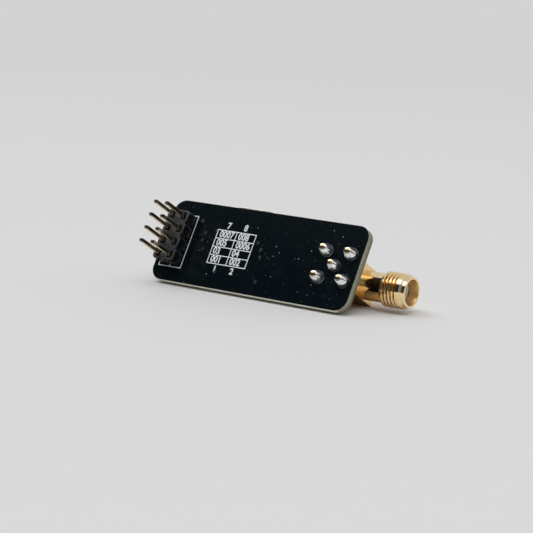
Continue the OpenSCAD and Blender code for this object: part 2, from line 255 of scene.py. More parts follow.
def print_material():
    """White printing: matt, a little thin in places."""
    material, tree, shader, place = start_material("white_print", 0.55)
    thin = ranged(tree, noise_at(tree, place, 6, 4), 0.42, 0.75, 0, 1)
    tree.links.new(mixed(tree, thin, (0.93, 0.96, 0.98), (0.78, 0.82, 0.85)),
                   shader.inputs["Base Color"])
    bumped(tree, shader, noise_at(tree, place, 14, 3), 0.006)
    return material


def moulded_material(name, dark, light, roughness, grain=9.0, depth=0.006):
    """Moulded plastic with a fine grain."""
    material, tree, shader, place = start_material(name, roughness)
    share = ranged(tree, noise_at(tree, place, 1.3, 4), 0.35, 0.7, 0, 1)
    tree.links.new(mixed(tree, share, dark, light), shader.inputs["Base Color"])
    vary_roughness(tree, shader, place, 2.0, roughness - 0.06, roughness + 0.08)
    bumped(tree, shader, noise_at(tree, place, grain, 4), depth)
    return material


def metal_material(name, dark, light, smooth, rough, waviness, depth, stretch=(1, 1, 1), per_mm=6,
                   floor_bounce=None):
    """Plated metal: tone, gloss and fine tool marks that run across the stretched axis.

    Where a floor-bounce colour is given, the faces that look down have it: painted light, as if lit off
    the floor.
    """
    material, tree, shader, place = start_material(name, smooth, 1.0)
    share = ranged(tree, noise_at(tree, place, 0.9, 4), 0.35, 0.68, 0, 1)
    colour = mixed(tree, share, dark, light)
    # painted light: faces that look down take the floor-bounce colour
    if floor_bounce:
        up = node_of(tree, "ShaderNodeSeparateXYZ", Vector=surface_normal(tree)).outputs["Z"]
        down = maths(tree, "MULTIPLY", up, -1)
        colour = mixed(tree, ranged(tree, down, -0.1, 0.4, 0, 1), colour, floor_bounce)
    tree.links.new(colour, shader.inputs["Base Color"])
    marks = noise_at(tree, stretched(tree, place, stretch), per_mm, 4)
    tree.links.new(ranged(tree, marks, 0.35, 0.7, smooth, rough), shader.inputs["Roughness"])
    waves = bumped(tree, shader, noise_at(tree, place, 0.8, 1), waviness)
    bumped(tree, shader, marks, depth, waves)
    return material


def pin_material():
    """Gold-plated pins: smooth on the rolled faces, satin on the cut ones across v, and dark brown at
    the tip, which is painted shade.
    """
    material, tree, shader, place = start_material("pin_gold", 0.1, 1.0)
    tip = node_box(PINS[0])[1].z
    tip_shade_from, tip_shade_to = tip - 0.5, tip - 0.4
    share = ranged(tree, noise_at(tree, stretched(tree, place, (1, 1, 0.15)), 4, 4), 0.35, 0.68, 0, 1)
    plated = mixed(tree, share, (0.70, 0.56, 0.38), (0.92, 0.78, 0.57))
    at = node_of(tree, "ShaderNodeSeparateXYZ", Vector=from_corner(tree, place)).outputs
    # painted shade: dark brown from 0.4 mm below the tip up to it
    tip_shade = ranged(tree, at["Z"], tip_shade_from, tip_shade_to, 0, 1)
    tree.links.new(mixed(tree, tip_shade, plated, (0.22, 0.14, 0.085)), shader.inputs["Base Color"])
    facing = tree.nodes.new("ShaderNodeVectorMath")
    facing.operation = "DOT_PRODUCT"
    tree.links.new(surface_normal(tree), facing.inputs[0])
    facing.inputs[1].default_value = ACROSS
    cut = ranged(tree, maths(tree, "ABSOLUTE", facing.outputs["Value"], 0), 0.6, 0.8, 0, 1)
    rolled = ranged(tree, share, 0, 1, 0.12, 0.2)
    rough = maths(tree, "ADD", rolled, maths(tree, "MULTIPLY", cut, 0.22))
    tree.links.new(rough, shader.inputs["Roughness"])
    bumped(tree, shader, share, 0.0003)
    return material


def quartz_material():
    """The clear plate inside the crystal's can."""
    material, tree, shader, place = start_material("quartz", 0.08, IOR=1.54, Transmission_Weight=0.85)
    share = ranged(tree, noise_at(tree, place, 1.5, 3), 0.4, 0.6, 0, 1)
    tree.links.new(mixed(tree, share, (0.86, 0.90, 0.92), (0.94, 0.96, 0.97)),
                   shader.inputs["Base Color"])
    bumped(tree, shader, noise_at(tree, place, 6, 2), 0.001)
    return material


MASK = mask_material()
LAMINATE = laminate_material()
PRINT = print_material()

# Moulded and glazed: darkest tone, lightest tone, roughness, then grain per mm and its depth in mm
HEADER_PLASTIC = moulded_material(
    "header_plastic", (0.004, 0.0044, 0.0052), (0.010, 0.0108, 0.0122), 0.25)
# Lighter plastic for the top faces and the notch faces that look up-right: painted light
HEADER_TOP_PAINTED_LIGHT = moulded_material(
    "header_top_painted_light", (0.010, 0.0125, 0.0165), (0.070, 0.0780, 0.0900), 0.42, 1.6, 0.01)
CHIP_PLASTIC = moulded_material(
    "chip_plastic", (0.010, 0.010, 0.011), (0.022, 0.022, 0.023), 0.55, 14, 0.01)
VIA_MASK = moulded_material(
    "mask_over_copper", (0.004, 0.008, 0.010), (0.012, 0.018, 0.021), 0.17, 6, 0.002)
SEAT_PLASTIC = moulded_material("seat_plastic", (0.008, 0.008, 0.009), (0.018, 0.018, 0.019), 0.5)
INSULATOR = moulded_material("insulator", (0.88, 0.86, 0.83), (0.96, 0.95, 0.93), 0.4, 5, 0.004)
CERAMIC_TAN = moulded_material(
    "ceramic_tan", (0.30, 0.19, 0.10), (0.42, 0.28, 0.16), 0.35, 10, 0.004)
CERAMIC_PALE = moulded_material(
    "ceramic_pale", (0.55, 0.58, 0.60), (0.70, 0.73, 0.75), 0.3, 10, 0.004)
GLAZE_BLACK = moulded_material(
    "glaze_black", (0.010, 0.010, 0.012), (0.02, 0.02, 0.024), 0.2, 6, 0.003)

# Metals: deepest tone, palest tone, least and most roughness, then depths of waves and marks in mm
GOLD_DEEP, GOLD_PALE = (0.97, 0.71, 0.35), (1.0, 0.84, 0.56)
TURNING = (8, 0.4, 0.4)      # tool marks that run round u
# The block's and the neck's gold get a painted floor bounce on the faces that look down
JACK_GOLD = metal_material("jack_gold", (0.88, 0.62, 0.29), (0.93, 0.75, 0.47), 0.07, 0.15,
                           0.004, 0.0002, floor_bounce=(0.86, 0.55, 0.22))
NECK_GOLD = metal_material("neck_gold", GOLD_DEEP, GOLD_PALE, 0.05, 0.13,
                           0.003, 0.0003, TURNING, floor_bounce=(0.84, 0.50, 0.17))
TURNED_GOLD = metal_material("turned_gold", GOLD_DEEP, GOLD_PALE, 0.05, 0.13, 0.003, 0.0003, TURNING)
# Darker gold for the faces inside the mouth and bore: painted shade
INNER_GOLD_PAINTED_SHADE = metal_material(
    "inner_gold_painted_shade", (0.72, 0.49, 0.22), (0.80, 0.57, 0.29), 0.4, 0.5, 0.002, 0.001)
# Darker gold for the roots of the thread: painted shade
GROOVE_GOLD_PAINTED_SHADE = metal_material(
    "groove_gold_painted_shade", (0.50, 0.31, 0.11), (0.62, 0.41, 0.16), 0.3, 0.4, 0.002, 0.001)
CONTACT_GOLD = metal_material("contact_gold", GOLD_DEEP, GOLD_PALE, 0.12, 0.25, 0.002, 0.0005)
SOLDER = metal_material(
    "solder", (0.80, 0.81, 0.81), (0.94, 0.94, 0.93), 0.07, 0.16, 0.008, 0.0003, per_mm=4)
NICKEL = metal_material(
    "nickel", (0.58, 0.57, 0.55), (0.74, 0.73, 0.71), 0.20, 0.36, 0.01, 0.001, (1, 6, 1))
TIN = metal_material("tin", (0.66, 0.66, 0.66), (0.82, 0.82, 0.81), 0.18, 0.34, 0.01, 0.002)
PIN_GOLD = pin_material()
QUARTZ = quartz_material()

# ---------------------------------------------------------------- mesh helpers


def ring(bm, points):
    return [bm.verts.new(p) for p in points]


def bridge(bm, first, second, material=0):
    """A closed band of faces between two rings with the same number of points."""
    count = len(first)
    for i in range(count):
        j = (i + 1) % count
        bm.faces.new((first[i], first[j], second[j], second[i])).material_index = material


def cap(bm, loop, material=0):
    bm.faces.new(loop).material_index = material


def loft(bm, rings, material=0):
    """Joins rings of points in order, closed at both ends."""
    loops = [ring(bm, points) for points in rings]
    for first, second in zip(loops, loops[1:]):
        bridge(bm, first, second, material)
    cap(bm, loops[0][::-1], material)
    cap(bm, loops[-1], material)


def loft_outlines(bm, levels):
    """Joins flat outlines of (u, v) points, each with its own w."""
    loft(bm, [[(u, v, w) for u, v in outline] for w, outline in levels])


def rounded_box(bm, low, high, radius, material=0):
    """A block with rounded edges."""
    low, high = Vector(low), Vector(high)
    made = bmesh.ops.create_cube(bm, size=1.0)["verts"]
    size, middle = high - low, (low + high) / 2
    for v in made:
        v.co = Vector((v.co.x * size.x, v.co.y * size.y, v.co.z * size.z)) + middle
    faces = {f for v in made for f in v.link_faces}
    for face in faces:
        face.material_index = material
    edges = list({e for f in faces for e in f.edges})
    bmesh.ops.bevel(bm, geom=edges, offset=radius, segments=2, profile=0.5, affect="EDGES",
                    clamp_overlap=True)


def circle_points(middle, radius, count):
    return [(middle[0] + radius * math.cos(2 * math.pi * k / count),
             middle[1] + radius * math.sin(2 * math.pi * k / count)) for k in range(count)]


def band_edges(lines, width):
    return [x for line in lines for x in (line - width / 2, line + width / 2)]


def lattice(bm, us, vs, solid, low, high):
    """A raised sheet made of those cells of a grid for which solid(column, row) holds."""
    verts = {}

    def corner(i, j, w):
        key = (i, j, w)
        if key not in verts:
            verts[key] = bm.verts.new((us[i], vs[j], w))
        return verts[key]

    cells = {(i, j) for i in range(len(us) - 1) for j in range(len(vs) - 1) if solid(i, j)}
    for i, j in cells:
        around = [(i, j), (i + 1, j), (i + 1, j + 1), (i, j + 1)]
        bm.faces.new([corner(a, b, high) for a, b in around])
        bm.faces.new([corner(a, b, low) for a, b in reversed(around)])
        for side, (di, dj) in enumerate(((0, -1), (1, 0), (0, 1), (-1, 0))):
            if (i + di, j + dj) not in cells:
                (a, b), (c, d) = around[side], around[(side + 1) % 4]
                bm.faces.new((corner(a, b, low), corner(c, d, low),
                              corner(c, d, high), corner(a, b, high)))


def trail(points, width, steps=5):
    """The outline of a strip with round ends along a line of points, mitred at its corners."""
    points = [Vector(p) for p in points]
    half = width / 2
    directions = [(b - a).normalized() for a, b in zip(points, points[1:])]
    left, right = [], []
    for k, point in enumerate(points):
        before, after = directions[max(k - 1, 0)], directions[min(k, len(directions) - 1)]
        middle = (before + after).normalized()
        offset = Vector((-middle.y, middle.x)) * half / max(middle.dot(after), 0.4)
        left.append(point + offset)
        right.append(point - offset)

    def round_end(centre, direction):
        start = math.atan2(direction.y, direction.x) + math.pi / 2
        angles = [start - math.pi * k / steps for k in range(1, steps)]
        return [centre + half * Vector((math.cos(angle), math.sin(angle))) for angle in angles]

    far_end, near_end = round_end(points[-1], directions[-1]), round_end(points[0], -directions[0])
    return [(p.x, p.y) for p in left + far_end + right[::-1] + near_end][::-1]


def piece(name, bm, materials, replaces=(), smooth_above=40, bevel=0):
    """Makes the mesh an object that rides on the part."""
    bmesh.ops.remove_doubles(bm, verts=bm.verts, dist=1e-5)
    bmesh.ops.recalc_face_normals(bm, faces=bm.faces)
    mesh = bpy.data.meshes.new(name)
    bm.to_mesh(mesh)
    bm.free()
    mesh.transform(BOARD @ Matrix.Scale(MM, 4))
    for material in materials:
        mesh.materials.append(material)
    made = bpy.data.objects.new(name, mesh)
    bpy.context.scene.collection.objects.link(made)
    finish_surface(made, bevel, smooth_above)
    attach(made, "root")
    if replaces:
        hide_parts(*replaces)


def finish_surface(made, bevel, smooth_above=40):
    """Rounds edges off where a width is given, and shades large faces flat and small ones smooth."""
    mesh = made.data
    mesh.polygons.foreach_set("use_smooth", [True] * len(mesh.polygons))
    if bevel:
        rounding = made.modifiers.new("rounding", "BEVEL")
        rounding.width = bevel * MM
        rounding.segments = 2
        rounding.limit_method = "ANGLE"
        rounding.angle_limit = math.radians(BEVEL_ABOVE)
    else:
        mesh.set_sharp_from_angle(angle=math.radians(smooth_above))
    facing = made.modifiers.new("facing", "WEIGHTED_NORMAL")
    facing.weight = 100
    facing.keep_sharp = True


def dress(node, material, bevel):
    """Gives a CAD node its material, and rounds its edges without changing its own mesh."""
    made = frame["nodes"][node]
    made.data.materials.clear()
    made.data.materials.append(material)
    weld = made.modifiers.new("weld", "WELD")
    weld.merge_threshold = 0.001 * MM
    flat = made.modifiers.new("flat", "DECIMATE")
    flat.decimate_type = "DISSOLVE"
    flat.angle_limit = math.radians(FLAT_WITHIN)
    finish_surface(made, bevel)


# ---------------------------------------------------------------- the circuit board


def board_outline(inset, steps=14):
    """Points round the board, that far inside its edge."""
    radius = CORNER_RADIUS - inset
    near, far_u, far_v = CORNER_RADIUS, BOARD_L - CORNER_RADIUS, BOARD_W - CORNER_RADIUS
    points = []
    for quarter, (u, v) in enumerate(((far_u, far_v), (near, far_v), (near, near), (far_u, near))):
        for k in range(steps + 1):
            angle = (quarter + k / steps) * math.pi / 2
            points.append((u + radius * math.cos(angle), v + radius * math.sin(angle)))
    return points


def make_board():
    """The laminate, with a skin of copper and mask on each side that stops just short of its edge."""
    cut_edge, skin_foot, skin_top = 0.03, 0.05, 0.08
    core = BOARD_T - SKIN
    levels = ((SKIN, cut_edge), (SKIN + cut_edge, 0), (core - cut_edge, 0), (core, cut_edge))
    bm = bmesh.new()
    loft_outlines(bm, [(w, board_outline(inset)) for w, inset in levels])
    piece("board_laminate", bm, [LAMINATE], ["circuit_board"], smooth_above=25)
    for name, inner, outer in (("mask_component_side", SKIN, 0), ("mask_solder_side", core, BOARD_T)):
        levels = ((inner, skin_foot), ((inner + outer) / 2, skin_foot), (outer, skin_top))
        bm = bmesh.new()
        loft_outlines(bm, [(w, board_outline(inset)) for w, inset in levels])
        piece(name, bm, [MASK], smooth_above=12)


# Where the mask-covered vias show, in (u, v)
TENTED_VIAS = [(7.27, 12.31), (8.65, 10.1), (8.56, 8.69), (9.27, 7.01), (13.7, 3.2), (20.62, 9.82),
               (21.66, 8.61), (22.0, 7.21), (22.81, 2.62)]


def make_vias():
    """Small rings of mask over the plated holes, on both sides."""
    profile = ((0.34, -0.01), (0.31, 0.02), (0.25, 0.035), (0.18, 0.03), (0.12, 0.015), (0.06, 0.004))
    for name, base, out in (("vias_solder_side", BOARD_T, 1), ("vias_component_side", 0, -1)):
        bm = bmesh.new()
        for middle in TENTED_VIAS:
            loft_outlines(bm, [(base + out * rise, circle_points(middle, radius, 16))
                               for radius, rise in profile])
        piece(name, bm, [VIA_MASK], smooth_above=80)


DIGIT_SHARE = 0.72           # height of a digit over the type's size


def print_digits(bm, text, height, centre, plane, widen, weight):
    """Adds a row of raised digits of that height about a centre; a negative widening mirrors them."""
    curve = bpy.data.curves.new("digits", "FONT")
    curve.body = text
    curve.align_x, curve.align_y = "CENTER", "CENTER"
    curve.size = height / DIGIT_SHARE
    curve.extrude = INK / 2
    curve.offset = weight
    curve.resolution_u = 4
    holder = bpy.data.objects.new("digits", curve)
    bpy.context.scene.collection.objects.link(holder)
    mesh = bpy.data.meshes.new_from_object(holder)
    bpy.data.objects.remove(holder)
    bpy.data.curves.remove(curve)
    place = Matrix.Translation((centre[0], centre[1], plane + INK / 2))
    mesh.transform(place @ Matrix.Diagonal((widen, 1, 1, 1)))
    bm.from_mesh(mesh)
    bpy.data.meshes.remove(mesh)


PRINT_LINE = 0.17
HEADER_BOX_U = (1.058, 3.555, 6.053)     # its left side, divider and right side
HEADER_BOX_V = (2.756, 13.02)
HEADER_DIVIDER_TOP = 3.5
TABLE_LEFT, TABLE_RIGHT, TABLE_BOTTOM, TABLE_TOP = 11.32, 19.755, 4.69, 11.173
TABLE_LABELS = (("001", "002"), ("03", "04"), ("005", "0006"), ("0007", "008"))
OUTSIDE_LABELS = (("7", 13.38, 12.09), ("8", 17.11, 12.12), ("1", 13.45, 3.66), ("2", 17.21, 3.70))


def make_header_box():
    """The white box round the header, with a short divider at its foot."""
    bottom, top = (band_edges([v], PRINT_LINE) for v in HEADER_BOX_V)
    bm = bmesh.new()
    lattice(bm, band_edges(HEADER_BOX_U, PRINT_LINE), bottom + [HEADER_DIVIDER_TOP] + top,
            lambda i, j: j in (0, 3) or i in (0, 4) or (i, j) == (2, 1), BOARD_T, BOARD_T + INK)
    piece("print_header_box", bm, [PRINT])


def make_table():
    """A table of pin numbers in two columns and four rows, with more numbers outside it."""
    rows = len(TABLE_LABELS)
    row_h = (TABLE_TOP - TABLE_BOTTOM) / rows
    columns = (TABLE_LEFT, (TABLE_LEFT + TABLE_RIGHT) / 2, TABLE_RIGHT)
    row_lines = [TABLE_BOTTOM + k * row_h for k in range(rows + 1)]
    bm = bmesh.new()
    lattice(bm, band_edges(columns, PRINT_LINE), band_edges(row_lines, PRINT_LINE),
            lambda i, j: i % 2 == 0 or j % 2 == 0, BOARD_T, BOARD_T + INK)
    piece("print_table", bm, [PRINT])

    digit_h, narrow, outside_h, outside_narrow = 1.28, 0.87, 1.2, 0.95
    digit_pitch, margin, bold = 0.96, 0.26, 0.045
    bm = bmesh.new()
    for row, pair in enumerate(TABLE_LABELS):
        for column, label in enumerate(pair):
            u = columns[column] + margin + digit_pitch * len(label) / 2
            v = TABLE_BOTTOM + (row + 0.5) * row_h
            print_digits(bm, label, digit_h, (u, v), BOARD_T, narrow, bold)
    for label, u, v in OUTSIDE_LABELS:
        print_digits(bm, label, outside_h, (u, v), BOARD_T, outside_narrow, bold)
    piece("print_numbers", bm, [PRINT])


# ---------------------------------------------------------------- solder

# A joint's height and, at it, how much of the foot's spread is left: a short flare, then a full cone
JOINT_SHAPE = ((-0.01, 1.0), (0.0, 1.0), (0.015, 0.975), (0.05, 0.955), (0.12, 0.94), (0.21, 0.905),
               (0.31, 0.85), (0.42, 0.77), (0.53, 0.67), (0.64, 0.55), (0.74, 0.43), (0.83, 0.31),
               (0.91, 0.19), (0.965, 0.08), (1.0, -0.1))
WOBBLE = 0.045               # how uneven a joint is, as a share of its radius


def solder_joint(bm, middle, base, out, foot, height, lead, seed):
    """A full cone of solder that flares at its foot and closes round a lead at its top."""
    spin = random.Random(seed)
    count = 40
    lean_u, lean_v = spin.uniform(-0.07, 0.05), spin.uniform(-0.09, 0.0)
    rings = []
    for share, narrow in JOINT_SHAPE:
        radius = lead + (foot - lead) * narrow
        loop = []
        for i in range(count):
            angle = 2 * math.pi * i / count
            cos, sin = math.cos(angle), math.sin(angle)
            uneven = radius * (1 + WOBBLE * noise.noise((cos + seed * 3.1, sin, share)))
            drift = math.sin(math.pi * min(max(share, 0), 1))
            loop.append((middle[0] + uneven * cos + lean_u * drift,
                         middle[1] + uneven * sin + lean_v * drift, base + out * height * share))
        rings.append(loop)
    loft(bm, rings)


def make_jack_solder():
    """The four joints of the jack's legs and the one of its centre pin; the tips just show."""
    low, high = node_box("jack_solder_joints")
    middle = (low + high) / 2
    foot = (high.x - low.x - LEG_PITCH) / 2
    height = high.z - BOARD_T
    corner = LEG_SIDE / 2 * math.sqrt(2) + 0.02
    pin_foot, pin_lead = foot * 0.92, 0.5
    bm = bmesh.new()
    for k, (du, dv) in enumerate(((-1, -1), (1, -1), (-1, 1), (1, 1))):
        place = (middle.x + du * LEG_PITCH / 2, middle.y + dv * LEG_PITCH / 2)
        solder_joint(bm, place, BOARD_T, 1, foot, height, corner, k + 1)
    solder_joint(bm, (middle.x, middle.y), BOARD_T, 1, pin_foot, height, pin_lead, 9)
    piece("jack_solder", bm, [SOLDER], ["jack_solder_joints"], smooth_above=70)


def make_header_solder():
    """The eight joints of the header on the component side; the pins stand out of them."""
    low, high = node_box("header_solder_joints")
    middle = (low + high) / 2
    foot = (high.x - low.x - PIN_PITCH) / 2
    lead, first_seed = 0.47, 20
    bm = bmesh.new()
    for row in range(PIN_ROWS):
        for column in range(PIN_COLUMNS):
            place = (middle.x + (column - (PIN_COLUMNS - 1) / 2) * PIN_PITCH,
                     middle.y + (row - (PIN_ROWS - 1) / 2) * PIN_PITCH)
            seed = first_seed + PIN_COLUMNS * row + column
            solder_joint(bm, place, 0, -1, foot, -low.z, lead, seed)
    piece("header_solder", bm, [SOLDER], ["header_solder_joints"], smooth_above=70)


# ---------------------------------------------------------------- the antenna jack

CREST_SHARE = 0.26           # of the pitch, flat on top
ROOT_SHARE = 0.1             # of the pitch, flat at the bottom
THREAD_PHASE = 0.86          # where on its first turn the ridge starts
# Faces deeper than GROOVE_DEEP get painted shade
GROOVE_DEEP = 0.3            # below the crest, where the light hardly reaches
NECK_RADIUS = 2.6            # the roots of the thread are level with the neck
LAND_RADIUS = 3.04           # smooth band after the last groove
COLLAR_RADIUS = 2.74
RIM_EDGE = 0.12              # radius of the mouth's outer edge


def smooth_step(x):
    x = min(max(x, 0.0), 1.0)
    return x * x * (3 - 2 * x)


def thread_profile(start, rim, crest):
    """The barrel's outer radius at u and at a share of a turn: neck, right-hand thread, land, collar."""
    last_groove, chamfer, lip = rim - 1.95, rim - 1.0, rim - 0.6
    fade, rise = 0.35, 1.5

    def radius(u, turn):
        if u <= start:
            return NECK_RADIUS
        if u >= chamfer:
            return COLLAR_RADIUS + (LAND_RADIUS - COLLAR_RADIUS) * max((lip - u) / (lip - chamfer), 0)
        top = crest + (LAND_RADIUS - crest) * smooth_step((u - last_groove) / (chamfer - last_groove))
        phase = ((u - start) / THREAD_PITCH - turn + THREAD_PHASE) % 1.0
        away = abs(phase - 0.5) * 2
        ridge = smooth_step((1 - ROOT_SHARE - away) / (1 - ROOT_SHARE - CREST_SHARE))
        depth = (top - NECK_RADIUS) * (1 - smooth_step((u - last_groove) / fade))
        return min(top - depth * (1 - ridge), NECK_RADIUS + (u - start) * rise)

    return radius, last_groove


def make_barrel():
    """The barrel: a smooth neck, a right-hand thread, a land, a chamfer, a collar and the mouth."""
    low, high = node_box("jack_barrel")
    rim = high.x
    mid_v, mid_w = (low.y + high.y) / 2, (low.z + high.z) / 2
    crest = MOUNTS["antenna_thread"]["dims"]["r_mm"]
    mouth, mouth_depth = (MOUNTS["jack_mouth"]["dims"][key] for key in ("r_mm", "length_mm"))
    start = point_in_board(MOUNTS["antenna_thread"]["pos_m"]).x - 2.5 * THREAD_PITCH
    end = rim - 0.3
    insulator_low, insulator_high = node_box("jack_insulator")
    bore = (insulator_high.y - insulator_low.y) / 2
    outer_radius, last_groove = thread_profile(start, rim, crest)
    around, stations, edge_steps, lip_edge = 96, 96, 4, 0.05

    def circle(u, radius_at):
        loop = []
        for k in range(around):
            angle = 2 * math.pi * k / around
            r = radius_at(u, k / around)
            loop.append((u, mid_v + r * math.cos(angle), mid_w + r * math.sin(angle)))
        return loop

    def plain(u, radius):
        return circle(u, lambda *_: radius)

    rings = [plain(low.x, bore), plain(low.x, NECK_RADIUS), plain(start - 0.15, NECK_RADIUS)]
    rings += [circle(start + (end - start) * k / stations, outer_radius) for k in range(stations + 1)]
    rings += [plain(rim - RIM_EDGE, COLLAR_RADIUS)]
    for k in range(1, edge_steps + 1):
        angle = math.pi / 2 * k / edge_steps
        rings.append(plain(rim - RIM_EDGE * (1 - math.sin(angle)),
                           COLLAR_RADIUS - RIM_EDGE * (1 - math.cos(angle))))
    rings += [plain(rim, mouth + lip_edge), plain(rim - lip_edge, mouth)]
    rings += [plain(rim - mouth_depth, mouth), plain(rim - mouth_depth, bore)]
    bm = bmesh.new()
    loops = [ring(bm, points) for points in rings]
    inside = len(loops) - 4
    outer, inner, groove, neck = range(4)
    # painted shade: the faces inside the mouth take the darker inner gold
    for k, (first, second) in enumerate(zip(loops, loops[1:] + loops[:1])):
        bridge(bm, first, second, inner if k >= inside else outer)
    for face in bm.faces:
        centre = face.calc_center_median()
        deep = math.hypot(centre.y - mid_v, centre.z - mid_w) < crest - GROOVE_DEEP
        # painted shade: faces deep in the thread's grooves take the darker groove gold
        if deep and start < centre.x < last_groove + 0.3:
            face.material_index = groove
        elif centre.x < start and face.material_index == outer:
            face.material_index = neck
    piece("jack_barrel_threaded", bm, [TURNED_GOLD, INNER_GOLD_PAINTED_SHADE, GROOVE_GOLD_PAINTED_SHADE, NECK_GOLD],
          ["jack_barrel"], smooth_above=50)


def dress_jack():
    dress("jack_block", JACK_GOLD, 0.09)
    dress("jack_rear_cap", JACK_GOLD, 0.08)
    dress("jack_insulator", INSULATOR, 0.05)
    dress("jack_center_contact", CONTACT_GOLD, 0.03)
    dress("jack_center_pin", CONTACT_GOLD, 0.05)
    dress("jack_pin_sleeve", INSULATOR, 0.05)


# ---------------------------------------------------------------- the header

HOUSING_NOTCH = 0.4
POCKET_U, POCKET_V, POCKET_DEPTH = 0.5, 0.66, 0.6


def housing_outline(low, high):
    """Seen from above: one cell a row of pins, with the corners of each cell cut off."""
    middle = (low.y + high.y) / 2
    cuts = [low.y] + [middle + row * PIN_PITCH for row in (-1, 0, 1)] + [high.y]
    notched = high.x - HOUSING_NOTCH
    right = [(notched, low.y)]
    for start, end in zip(cuts, cuts[1:]):
        right += [(high.x, start + HOUSING_NOTCH), (high.x, end - HOUSING_NOTCH), (notched, end)]
    return right + [(low.x + high.x - u, v) for u, v in right[::-1]]


def make_housing():
    """The header's moulding, with a pocket in its top round each pin."""
    low, high = node_box("header_housing")
    bm = bmesh.new()
    outline = housing_outline(low, high)
    foot, top = [ring(bm, [(u, v, w) for u, v in outline]) for w in (low.z, high.z)]
    bridge(bm, foot, top)
    cap(bm, foot)
    rims = [top]
    for pin in PINS:
        middle = node_centre(pin)
        corners = [(middle.x + du * POCKET_U, middle.y + dv * POCKET_V)
                   for du, dv in ((-1, -1), (1, -1), (1, 1), (-1, 1))]
        levels = (high.z, high.z - POCKET_DEPTH)
        rim, floor = [ring(bm, [(u, v, w) for u, v in corners]) for w in levels]
        bridge(bm, rim, floor)
        cap(bm, floor)
        rims.append(rim)
    edges = [bm.edges.get((loop[k - 1], loop[k])) for loop in rims for k in range(len(loop))]
    bmesh.ops.triangle_fill(bm, edges=edges, use_beauty=True)
    bmesh.ops.recalc_face_normals(bm, faces=bm.faces)
    # painted light: the top faces and the up-right notch faces get the lighter plastic
    for face in bm.faces:
        on_top = face.normal.z > 0.5 and face.calc_center_median().z > high.z - 0.01
        if on_top or (face.normal.x > 0.5 and face.normal.y > 0.5):
            face.material_index = 1
    piece("header_moulding", bm, [HEADER_PLASTIC, HEADER_TOP_PAINTED_LIGHT], ["header_housing"],
          bevel=0.06)


def make_header():
    make_housing()
    for pin in PINS:
        dress(pin, PIN_GOLD, 0.045)


# ---------------------------------------------------------------- the crystal


def stadium(length, width, inset, middle, steps=14):
    """Points round a bar with half-round ends."""
    radius = width / 2 - inset
    reach = (length - width) / 2
    points = []
    for side, turn in ((1, -0.5), (-1, 0.5)):
        for k in range(steps + 1):
            angle = math.pi * (turn + k / steps)
            points.append((middle.x + side * reach + radius * math.cos(angle),
                           middle.y + radius * math.sin(angle)))
    return points


def make_crystal_metal(name, node, levels, middle):
    """Lofts bars with half-round ends; each level is a w and an inset from the node's own outline."""
    low, high = node_box(node)
    length, width = high.x - low.x, high.y - low.y
    bm = bmesh.new()
    loft_outlines(bm, [(w, stadium(length, width, inset, middle)) for w, inset in levels])
    piece(name, bm, [NICKEL], [node])


def make_crystal():
    """The drawn can, hollow as the real one, and the flange it is welded to."""
    low, high = node_box("crystal_flange")
    middle = (low + high) / 2
    near, far = high.z, low.z
    edge = 0.1
    levels = ((near, edge), (near - edge * 0.3, edge * 0.3), (near - edge, 0), (far + edge, 0),
              (far + edge * 0.3, edge * 0.3), (far, edge))
    make_crystal_metal("crystal_flange_plate", "crystal_flange", levels, middle)

    low, high = node_box("crystal_can")
    base, top = high.z, low.z
    wall, corner, foot, corner_steps = 0.2, 0.45, 0.12, 6
    levels = [(top + wall, corner + wall), (top + wall, corner + wall * 0.9),
              (top + wall + corner * 0.6, wall), (base, wall), (base, -foot),
              (base - foot * 0.4, -foot * 0.6), (base - foot * 1.5, 0)]
    for k in range(corner_steps + 1):
        angle = math.pi / 2 * k / corner_steps
        levels.append((top + corner * (1 - math.sin(angle)), corner * (1 - math.cos(angle))))
    make_crystal_metal("crystal_can_drawn", "crystal_can", levels, middle)

    dress("crystal_seat", SEAT_PLASTIC, 0.05)
    dress("quartz_blank", QUARTZ, 0.02)
    for k in (1, 2):
        dress(f"crystal_lead_{k}", TIN, 0.05)


# ---------------------------------------------------------------- chips and small parts


def make_chip(node, pads):
    """A flat moulded package with bright pads along its foot and a dimple at its first corner."""
    low, high = node_box(node)
    middle = (low + high) / 2
    half = (high.x - low.x) / 2
    pad_out, pad_w, pad_pitch, pad_inset, pad_reach, pad_h = 0.05, 0.25, 0.5, 0.15, 0.17, 0.2
    dimple_inset = 0.7
    bm = bmesh.new()
    rounded_box(bm, (low.x + pad_out, low.y + pad_out, low.z),
                (high.x - pad_out, high.y - pad_out, high.z - pad_out), 0.06)
    for k in range(pads):
        along = (k - (pads - 1) / 2) * pad_pitch
        for c, s in ((1, 0), (0, 1), (-1, 0), (0, -1)):
            u = middle.x + c * (half - pad_inset) - s * along
            v = middle.y + s * (half - pad_inset) + c * along
            reach_u, reach_v = (pad_reach, pad_w / 2) if c else (pad_w / 2, pad_reach)
            rounded_box(bm, (u - reach_u, v - reach_v, high.z - pad_h),
                        (u + reach_u, v + reach_v, high.z), 0.03, 1)
    spot = (low.x + dimple_inset, high.y - dimple_inset)
    profile = ((0.24, 0.004), (0.22, -0.008), (0.17, -0.003), (0.05, -0.002))
    loft_outlines(bm, [(low.z + w, circle_points(spot, r, 20)) for r, w in profile])
    piece(node + "_package", bm, [CHIP_PLASTIC, TIN], [node])


def make_two_ended(node, body):
    """A ceramic block with a tinned cap at each end and solder that climbs each cap."""
    low, high = node_box(node)
    size = high - low
    long_axis = 0 if size.x > size.y else 1
    rim = Vector((0.02, 0.02, 0.02))
    cap_l = size[long_axis] * 0.25
    bm = bmesh.new()
    rounded_box(bm, low + rim, high - rim, 0.03)
    for end in (0, 1):
        a, b = low.copy(), high.copy()
        if end:
            a[long_axis] = high[long_axis] - cap_l
        else:
            b[long_axis] = low[long_axis] + cap_l
        rounded_box(bm, a, b, 0.05, 1)
        solder_fillet(bm, a, b, long_axis, end)
    piece(node + "_body", bm, [body, TIN, SOLDER], [node])


